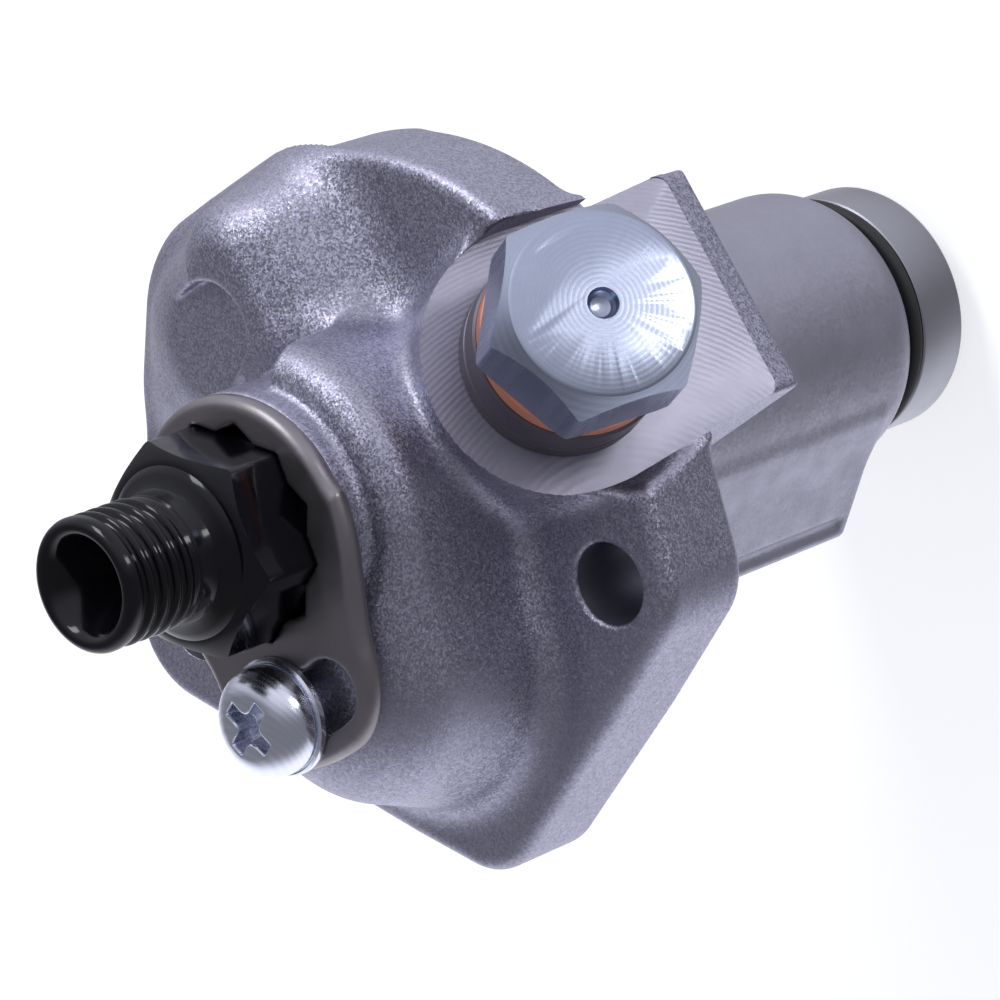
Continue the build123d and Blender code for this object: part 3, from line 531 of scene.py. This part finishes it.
def screw_field(x, y, z):
    """Pan head with a tapered cross recess, and its shank, about the screw's own axis."""
    head_r, head_high, crown, shank_r, shank_end = 4.95, 3.5, 0.012, 2.45, -14.0
    arm_long, arm_half, middle_r, recess_floor, recess_turn = 2.65, 0.68, 1.25, 1.3, math.radians(20)
    r = np.hypot(x, y)
    head = rounded(r - head_r, z - head_high + crown * r * r, 2.3)
    head = rounded(head, -z, 0.25)
    shank = np.maximum(r - shank_r, z)
    c, s = math.cos(recess_turn), math.sin(recess_turn)
    p, q = np.abs(x * c + y * s), np.abs(-x * s + y * c)
    taper = (head_high - z) * 0.22
    one_arm = np.maximum(p - arm_long + taper, q - arm_half + 0.4 * taper)
    other_arm = np.maximum(q - arm_long + taper, p - arm_half + 0.4 * taper)
    middle = np.hypot(p, q) - middle_r + taper
    recess = np.maximum(soft_min(np.minimum(one_arm, other_arm), middle, 0.5), recess_floor - z)
    whole = np.minimum(head, np.maximum(shank, shank_end - z))
    return soft_max(whole, -recess, 0.22)


def lock_screw():
    piece = skin("screw_head", screw_field, (-5.4, -5.4, -14.4), (5.4, 5.4, 3.9), 0.12)
    piece.data.transform(Matrix.Translation(Vector((*SCREW, WASHER_TOP)) * MM))
    return piece


def screw_washer():
    foot = [(2.8, PLATE_TOP), (5.1, PLATE_TOP), (5.3, 29.85)]
    top = [(5.3, 30.4), (5.1, WASHER_TOP), (2.8, WASHER_TOP)]
    return lathe("screw_plain_washer", foot + top, 96, SCREW_PLACE)


# Inlet bolt, copper washer and collar, along the inlet axis


def bolt_hex():
    piece = hexagon("bolt_hex", BOLT_FLATS, COPPER_TOP, BOLT_TOP, BOLT_PHASE, INLET_PLACE)
    soften(piece, 0.35, 3)
    side = [(0, 33), (8.6, COPPER_TOP), (9.9, 33.9), (9.9, 38.8)]
    turned = side + [(8.35, 41.0), (8.05, 41.4), (7.7, BOLT_TOP), (0, BOLT_TOP)]
    carve(piece, [lathe("keep", turned, 192, INLET_PLACE)], "INTERSECT")
    dimple = [(0, 40.1), (0.9, 40.45), (1.25, 40.9), (1.4, 41.6), (1.4, 43), (0, 43)]
    carve(piece, [lathe("cut", dimple, 64, INLET_PLACE), drill(3.0, 32, 34.2, INLET_PLACE)])
    soften(piece, 0.12, 2, 25, flat=True)
    return piece


def bolt_shank():
    profile = [(3, 14.7), (5.35, 14.7), (5.95, 15.3), (5.95, 33.3), (3, 33.3)]
    return lathe("bolt_shank", profile, 96, INLET_PLACE)


def inlet_collar():
    """Steel collar with a shallow turned line near its foot."""
    foot = [(6.1, INLET_FACE), (8.6, INLET_FACE), (8.78, 25.85), (8.78, 27.4), (8.6, 27.55), (8.6, 27.8)]
    top = [(8.78, 27.95), (8.78, 30.95), (8.55, COLLAR_TOP), (6.1, COLLAR_TOP)]
    return lathe("inlet_spacer", foot + top, 160, INLET_PLACE)


def copper_washer():
    foot = [(6.1, COLLAR_TOP), (8.3, COLLAR_TOP), (8.55, 31.4), (8.6, 32.1)]
    top = [(8.55, 32.9), (8.3, COPPER_TOP), (6.1, COPPER_TOP)]
    return lathe("copper_ring", foot + top, 160, INLET_PLACE)


# Springs inside


def coil_spring(node, wire_r, mean_r, turns):
    """Coil spring with closed ends that fills its node's box."""
    (_, _, low), (_, _, high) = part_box(node)
    low, high = low / MM, high / MM
    free = high - low - 2 * wire_r
    end_turns = 0.8
    end_rise = end_turns * 2.1 * wire_r
    steps, sides = int(turns * 40), 14
    rings = []
    for j in range(steps + 1):
        turn = j / steps * turns
        bends, rises = [0, end_turns, turns - end_turns, turns], [0, end_rise, free - end_rise, free]
        lift = np.interp(turn, bends, rises)
        a = 2 * math.pi * turn
        ring = []
        for i in range(sides):
            b = 2 * math.pi * i / sides
            r = mean_r + wire_r * math.cos(b)
            ring.append((r * math.cos(a), r * math.sin(a), low + wire_r + lift + wire_r * math.sin(b)))
        rings.append(ring)
    return ringed(node + "_coil", rings, closed=False)


def shorten(piece):
    """Give a spring a mesh of its own."""
    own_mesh(piece)


# Materials


class Nodes:
    """Short hand for building one material's node tree."""

    def __init__(self, name):
        self.mat = bpy.data.materials.new(name)
        self.mat.use_nodes = True
        self.tree = self.mat.node_tree
        self.bsdf = self.tree.nodes["Principled BSDF"]
        self.spot = self.add("ShaderNodeTexCoord").outputs["Object"]

    def add(self, kind, sockets=(), **values):
        """New node with attributes and the values of its input sockets."""
        node = self.tree.nodes.new(kind)
        for key, value in values.items():
            setattr(node, key, value)
        for key, value in dict(sockets).items():
            node.inputs[key].default_value = value
        return node

    def link(self, a, b):
        self.tree.links.new(a, b)

    def base(self, color, metallic, roughness, **more):
        sockets = {"Base Color": (*color, 1), "Metallic": metallic, "Roughness": roughness, **more}
        for key, value in sockets.items():
            self.bsdf.inputs[key.replace("_", " ")].default_value = value

    def noise(self, scale, detail=2.0, rough=0.5, stretch=None):
        node = self.add("ShaderNodeTexNoise", {"Scale": scale, "Detail": detail, "Roughness": rough})
        spot = self.spot
        if stretch is not None:
            mapping = self.add("ShaderNodeMapping", {"Scale": stretch})
            self.link(spot, mapping.inputs["Vector"])
            spot = mapping.outputs["Vector"]
        self.link(spot, node.inputs["Vector"])
        return node.outputs["Fac"]

    def ramp(self, value, low, high, a, b):
        """Value from low to high turned into one from a to b."""
        node = self.add("ShaderNodeMapRange", {"From Min": low, "From Max": high, "To Min": a, "To Max": b})
        self.link(value, node.inputs["Value"])
        return node.outputs["Result"]

    def mix(self, factor, a, b):
        node = self.add("ShaderNodeMix", data_type="RGBA")
        node.inputs["A"].default_value = (*a, 1)
        node.inputs["B"].default_value = (*b, 1)
        self.link(factor, node.inputs["Factor"])
        return node.outputs["Result"]

    def vector(self, operation, a, b):
        """Vector math of a linked vector and either another one or a plain value."""
        node = self.add("ShaderNodeVectorMath", operation=operation)
        self.link(a, node.inputs[0])
        second = node.inputs["Scale" if operation == "SCALE" else 1]
        if isinstance(b, bpy.types.NodeSocket):
            self.link(b, second)
        elif b is not None:
            second.default_value = b
        return node.outputs[0]

    def bump(self, height, distance, strength=1.0, normal=None):
        node = self.add("ShaderNodeBump", {"Strength": strength, "Distance": distance})
        self.link(height, node.inputs["Height"])
        if normal is not None:
            self.link(normal, node.inputs["Normal"])
        return node.outputs["Normal"]

    def grains(self, scale, tilt, normal):
        """Blasted grain: each cell turns the normal its own way. Gives the normal and the cells."""
        cell = self.add("ShaderNodeTexVoronoi", {"Scale": scale})
        self.link(self.spot, cell.inputs["Vector"])
        shift = self.vector("SUBTRACT", cell.outputs["Color"], (0.5, 0.5, 0.5))
        total = self.vector("ADD", normal, self.vector("SCALE", shift, tilt))
        return self.vector("NORMALIZE", total, None), cell.outputs["Color"]

    def out(self, color=None, roughness=None, normal=None):
        for key, socket in (("Base Color", color), ("Roughness", roughness), ("Normal", normal)):
            if socket is not None:
                self.link(socket, self.bsdf.inputs[key])
        return self.mat


def blasted_casting():
    """Front of the casting: bright and dark grains with a slow change of tone."""
    n = Nodes("blasted_casting")
    n.base((0.3, 0.3, 0.34), 0.95, 0.36)
    normal = n.bump(n.noise(900, 3.0, 0.6), 0.00012, 0.22)
    normal, cells = n.grains(6400, 0.28, normal)
    color = n.mix(n.noise(160, 4.0, 0.6), (0.34, 0.335, 0.42), (0.41, 0.4, 0.5))
    color = n.vector("SCALE", color, n.ramp(cells, 0.25, 0.75, 0.78, 1.22))
    return n.out(color, n.ramp(n.noise(2600, 1.0), 0.3, 0.7, 0.4, 0.52), normal)


def smooth_casting():
    """Barrel of the casting, with a finer and duller skin."""
    n = Nodes("smooth_casting")
    n.base((0.33, 0.33, 0.4), 0.85, 0.46)
    normal = n.bump(n.noise(700, 3.0, 0.6), 0.0002, 0.25)
    normal, _ = n.grains(4200, 0.1, normal)
    color = n.mix(n.noise(110, 5.0, 0.65), (0.32, 0.315, 0.385), (0.41, 0.405, 0.48))
    return n.out(color, n.ramp(n.noise(300, 3.0), 0.3, 0.7, 0.4, 0.52), normal)


def turned_land():
    """Spigot end with fine turning lines round the pump's axis."""
    n = Nodes("turned_land")
    n.base((0.36, 0.36, 0.4), 0.9, 0.38)
    normal = n.bump(n.noise(60, 2.0, 0.5, (1, 1, 60)), 0.00004, 0.25)
    return n.out(None, n.ramp(n.noise(200, 3.0), 0.3, 0.7, 0.34, 0.42), normal)


def milled_face():
    """Machined inlet face with arcs left by the cutter."""
    n = Nodes("milled_face")
    n.base((0.4, 0.39, 0.48), 0.9, 0.42)
    mapping = n.add("ShaderNodeMapping", {"Location": (0, 0.02, 0)})
    n.link(n.spot, mapping.inputs["Vector"])
    sockets = {"Scale": 900, "Distortion": 1.5, "Detail": 2.0}
    wave = n.add("ShaderNodeTexWave", sockets, wave_type="RINGS", rings_direction="SPHERICAL")
    n.link(mapping.outputs["Vector"], wave.inputs["Vector"])
    normal = n.bump(wave.outputs["Fac"], 0.00002, 0.4)
    normal = n.bump(n.noise(1800, 2.0), 0.00003, 0.3, normal)
    color = n.mix(n.noise(500, 3.0), (0.33, 0.32, 0.4), (0.4, 0.39, 0.47))
    return n.out(color, None, normal)


def plain_metal(name, a, b, metallic, roughness, grain=500, bump=0.00002):
    """Metal or rubber whose colour wanders between two tones."""
    n = Nodes(name)
    n.base(a, metallic, roughness)
    color = n.mix(n.noise(grain * 0.4, 4.0, 0.6), a, b)
    rough = n.ramp(n.noise(grain, 3.0), 0.3, 0.7, roughness - 0.04, roughness + 0.04)
    return n.out(color, rough, n.bump(n.noise(grain * 3, 2.0), bump, 0.5))


def turned_metal(name, a, b, roughness, bump):
    """Metal with turning rings about the inlet axis."""
    n = Nodes(name)
    n.base(a, 1.0, roughness)
    sockets = {"Location": INLET_PLACE.translation * MM, "Rotation": INLET_PLACE.to_euler()}
    mapping = n.add("ShaderNodeMapping", sockets, vector_type="TEXTURE")
    n.link(n.spot, mapping.inputs["Vector"])
    sockets = {"Scale": 700, "Distortion": 0.6, "Detail": 3.0}
    rings = n.add("ShaderNodeTexWave", sockets, wave_type="RINGS", rings_direction="Z")
    n.link(mapping.outputs["Vector"], rings.inputs["Vector"])
    color = n.mix(n.noise(240, 4.0, 0.6), a, b)
    rough = n.ramp(rings.outputs["Fac"], 0, 1, roughness - 0.03, roughness + 0.05)
    return n.out(color, rough, n.bump(rings.outputs["Fac"], bump, 0.4))


def black_coating():
    n = Nodes("black_coating")
    n.base((0.003, 0.003, 0.005), 0.0, 0.1, Specular_IOR_Level=0.25, Coat_Weight=0.2, Coat_Roughness=0.05)
    normal = n.bump(n.noise(260, 2.0, 0.5), 0.0003, 0.14)
    return n.out(None, n.ramp(n.noise(600, 3.0), 0.3, 0.7, 0.08, 0.2), normal)


# Finishes by name. A CAD node wears the one that has the name of its material slot.
FINISH = {
    "blasted_casting": blasted_casting(),
    "smooth_casting": smooth_casting(),
    "turned_land": turned_land(),
    "milled_face": milled_face(),
    # Painted shade: a dark colour on the stud holes' walls that stands for the shade inside the holes.
    "drilled_wall": plain_metal("drilled_wall", (0.1, 0.1, 0.13), (0.15, 0.15, 0.19), 0.9, 0.5, 300),
    "black_steel": black_coating(),
    "plate_steel": plain_metal(
        "stamped_plate", (0.243, 0.225, 0.235), (0.312, 0.292, 0.31), 0.95, 0.36, 400, 0.00003
    ),
    "zinc": turned_metal("zinc_plate", (0.69, 0.73, 0.84), (0.82, 0.83, 0.92), 0.24, 0.00001),
    "bolt_zinc": turned_metal("bolt_zinc", (0.36, 0.4, 0.52), (0.46, 0.5, 0.62), 0.27, 0.000006),
    "collar_steel": plain_metal("collar_steel", (0.11, 0.095, 0.115), (0.16, 0.14, 0.165), 0.9, 0.36),
    "copper": plain_metal("copper", (0.66, 0.235, 0.13), (0.76, 0.32, 0.2), 0.55, 0.36, 400),
    "ground_steel": plain_metal("ground_steel", (0.5, 0.5, 0.52), (0.6, 0.6, 0.62), 1.0, 0.25, 600),
    "spring_steel": plain_metal("spring_steel", (0.22, 0.22, 0.24), (0.3, 0.3, 0.32), 1.0, 0.33),
    "rubber": plain_metal("rubber", (0.012, 0.012, 0.013), (0.02, 0.02, 0.021), 0.0, 0.6, 700),
    "bronze": plain_metal("bronze", (0.5, 0.34, 0.15), (0.62, 0.44, 0.22), 1.0, 0.35),
}


def dress(piece, finish):
    piece.data.materials.clear()
    piece.data.materials.append(FINISH[finish])


def mark_machined(casting):
    """Milled finish on the flat cut square to the inlet axis, and painted shade in the stud holes: a dark
    colour on their walls.
    """
    mesh = casting.data
    mesh.materials.append(FINISH["milled_face"])
    mesh.materials.append(FINISH["drilled_wall"])
    normals = np.empty(len(mesh.polygons) * 3, np.float32)
    centres = np.empty(len(mesh.polygons) * 3, np.float32)
    mesh.polygons.foreach_get("normal", normals)
    mesh.polygons.foreach_get("center", centres)
    normals, centres = normals.reshape(-1, 3), centres.reshape(-1, 3)
    along = centres @ INLET - INLET_Z * MM * INLET[2]
    finish = np.zeros(len(mesh.polygons), np.int32)
    finish[(normals @ INLET > 0.999) & (np.abs(along - INLET_FACE * MM) < 0.02 * MM)] = 1
    # Painted shade: the stud holes' walls get a dark colour for the shade inside them.
    for x, y in (FRONT_STUD, REAR_STUD):
        reach = np.hypot(centres[:, 0] - x * MM, centres[:, 1] - y * MM)
        upright = (np.abs(normals[:, 2]) < 0.1) & (centres[:, 2] < (FLANGE_TOP - 0.3) * MM)
        finish[(reach < (STUD_R + 0.02) * MM) & upright] = 2
    mesh.polygons.foreach_set("material_index", finish)


def stand_for(node, slot, pieces):
    """Let pieces ride on the housing with a node's material slot, in place of the node, which is hidden."""
    for piece in pieces:
        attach(piece, "housing")
        if slot in FINISH:
            dress(piece, slot)
    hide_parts(node)


# The dressed part

casting, barrel, land = housing_casting(), housing_barrel(), spigot_land()
stand_for("pump_housing", "cast_body", [casting, barrel, land])
dress(casting, "blasted_casting")
dress(barrel, "smooth_casting")
dress(land, "turned_land")
mark_machined(casting)

holder = [holder_hex(), holder_body(), holder_neck()]
holder.append(thread("holder_thread", r=5.95, low=39.3, high=46.6, pitch=1.5, depth=0.62, bore_r=4.3))
holder.append(holder_mouth())
stand_for("delivery_valve_holder", "black_steel", holder)
stand_for("lock_plate", "plate_steel", [lock_plate()])
stand_for("lock_screw", "zinc", [lock_screw()])
stand_for("screw_washer", "zinc", [screw_washer()])

bolt = bolt_hex()
stand_for("inlet_plug", "zinc", [bolt, bolt_shank()])
dress(bolt, "bolt_zinc")
stand_for("inlet_collar", "collar_steel", [inlet_collar()])
stand_for("inlet_washer", "copper", [copper_washer()])

# Node, radius of wire and coil, turns, and a joint with its travel
SPRINGS = [
    ("plunger_spring", 0.8, 8.45, 6.5, "tappet_slide", 8.02),
    ("delivery_valve_spring", 0.45, 2.4, 7.0, "valve_lift", 2.6),
]
for node, wire_r, mean_r, turns, joint, travel in SPRINGS:
    coil = coil_spring(node, wire_r, mean_r, turns)
    stand_for(node, "spring_steel", [coil])
    shorten(coil)

for row in frame["record"]["subparts"]:
    if row["material_slot"] in FINISH:
        dress(frame["nodes"][row["node"]], row["material_slot"])


# Stage, light and camera, in metres

FLOOR_Z = -0.0612
FLOOR_HALF = 3.0
HEART = Vector((0.0, 0.0, -0.005))
CAMERA_SPOT = Vector((0.3225338, -0.0674905, 0.3265497))
CAMERA_TURN = Euler([math.radians(angle) for angle in (-19.24873, 41.57208, -38.65046)])


def seen_from_camera(right, up, near):
    """Vector with parts to the camera's right, upwards and towards the camera."""
    return CAMERA_TURN.to_matrix() @ Vector((right, up, near))


def floor():
    """Pale sheet that glossy rays don't see."""
    mat = bpy.data.materials.new("floor")
    mat.use_nodes = True
    sockets = {
        "Base Color": (0.93, 0.93, 0.94, 1),
        "Roughness": 0.9,
        "Emission Color": (1, 1, 1, 1),
        "Emission Strength": 0.55,
    }
    for key, value in sockets.items():
        mat.node_tree.nodes["Principled BSDF"].inputs[key].default_value = value
    mesh = bpy.data.meshes.new("floor")
    corners = [(x * FLOOR_HALF, y * FLOOR_HALF, FLOOR_Z) for x, y in ((-1, -1), (1, -1), (1, 1), (-1, 1))]
    mesh.from_pydata(corners, [], [(0, 1, 2, 3)])
    mesh.materials.append(mat)
    piece = linked("floor", mesh)
    piece.visible_glossy = False


def studio_world():
    """Dim bluish light for the object, and plain white for what camera, gloss and glass see."""
    world = bpy.data.worlds.new("studio")
    bpy.context.scene.world = world
    world.use_nodes = True
    tree = world.node_tree
    studio = tree.nodes["Background"]
    studio.inputs["Color"].default_value = (0.8, 0.82, 0.9, 1)
    studio.inputs["Strength"].default_value = 0.55
    white = tree.nodes.new("ShaderNodeBackground")
    white.inputs["Color"].default_value = (1, 1, 1, 1)
    rays = tree.nodes.new("ShaderNodeLightPath")
    seen = rays.outputs["Is Camera Ray"]
    for ray in ("Is Glossy Ray", "Is Transmission Ray"):
        either = tree.nodes.new("ShaderNodeMath")
        either.operation = "MAXIMUM"
        tree.links.new(seen, either.inputs[0])
        tree.links.new(rays.outputs[ray], either.inputs[1])
        seen = either.outputs[0]
    blend = tree.nodes.new("ShaderNodeMixShader")
    for socket, wire in enumerate((seen, studio.outputs[0], white.outputs[0])):
        tree.links.new(wire, blend.inputs[socket])
    tree.links.new(blend.outputs[0], tree.nodes["World Output"].inputs["Surface"])


def lamp(name, spot, size, power, color):
    """Soft rectangle at a spot seen from the camera, aimed at the object's middle."""
    data = bpy.data.lights.new(name, "AREA")
    data.shape = "RECTANGLE"
    data.size, data.size_y = size
    data.energy = power
    data.color = color
    thing = bpy.data.objects.new(name, data)
    thing.location = HEART + seen_from_camera(*spot)
    thing.rotation_euler = (HEART - thing.location).to_track_quat("-Z", "Y").to_euler()
    bpy.context.scene.collection.objects.link(thing)


def tent(radius, low_level, up_level, table_level):
    """Soft light tent that only mirror-like reflections see: brighter overhead and over the table."""
    bpy.ops.mesh.primitive_uv_sphere_add(segments=48, ring_count=24, radius=radius, location=HEART)
    piece = bpy.context.object
    piece.name = "light_tent"
    piece.data.shade_smooth()
    mat = bpy.data.materials.new("light_tent")
    mat.use_nodes = True
    tree = mat.node_tree
    tree.nodes.clear()
    spot = tree.nodes.new("ShaderNodeTexCoord")
    unit = tree.nodes.new("ShaderNodeVectorMath")
    unit.operation = "NORMALIZE"
    tree.links.new(spot.outputs["Object"], unit.inputs[0])

    def towards(right, up, near, low, high, gain):
        """Light that grows to its gain as the direction turns towards one of the camera's."""
        dot = tree.nodes.new("ShaderNodeVectorMath")
        dot.operation = "DOT_PRODUCT"
        dot.inputs[1].default_value = seen_from_camera(right, up, near).normalized()
        tree.links.new(unit.outputs[0], dot.inputs[0])
        step = tree.nodes.new("ShaderNodeMapRange")
        step.interpolation_type = "SMOOTHSTEP"
        step.inputs["From Min"].default_value = low
        step.inputs["From Max"].default_value = high
        step.inputs["To Max"].default_value = gain
        tree.links.new(dot.outputs["Value"], step.inputs["Value"])
        return step.outputs["Result"]

    overhead = tree.nodes.new("ShaderNodeMath")
    overhead.inputs[1].default_value = low_level
    tree.links.new(towards(-0.15, 0.97, 0.2, -0.05, 0.75, up_level - low_level), overhead.inputs[0])
    total = tree.nodes.new("ShaderNodeMath")
    tree.links.new(overhead.outputs[0], total.inputs[0])
    tree.links.new(towards(0.1, -0.65, -0.75, 0.3, 0.9, table_level - low_level), total.inputs[1])
    glow = tree.nodes.new("ShaderNodeEmission")
    glow.inputs["Color"].default_value = (0.94, 0.95, 1.05, 1)
    tree.links.new(total.outputs[0], glow.inputs["Strength"])
    tree.links.new(glow.outputs[0], tree.nodes.new("ShaderNodeOutputMaterial").inputs["Surface"])
    piece.data.materials.append(mat)
    for ray in ("camera", "diffuse", "transmission", "volume_scatter", "shadow"):
        setattr(piece, "visible_" + ray, False)


def camera():
    """Camera at the photograph's angle, distance and framing."""
    data = bpy.data.cameras.new("camera")
    data.lens = 185.99
    data.sensor_width = 36.0
    data.clip_end = 20
    thing = bpy.data.objects.new("camera", data)
    thing.location = CAMERA_SPOT
    thing.rotation_euler = CAMERA_TURN
    bpy.context.scene.collection.objects.link(thing)
    bpy.context.scene.camera = thing


floor()
studio_world()
tent(radius=1.2, low_level=0.22, up_level=0.88, table_level=1.3)
lamp("window", spot=(-0.35, 0.42, 0.3), size=(0.16, 0.3), power=1.2, color=(0.95, 0.97, 1.0))
lamp("strip", spot=(0.4, 0.3, 0.35), size=(0.1, 0.3), power=0.8, color=(1, 1, 1))
camera()
bpy.context.scene.view_settings.view_transform = "Standard"
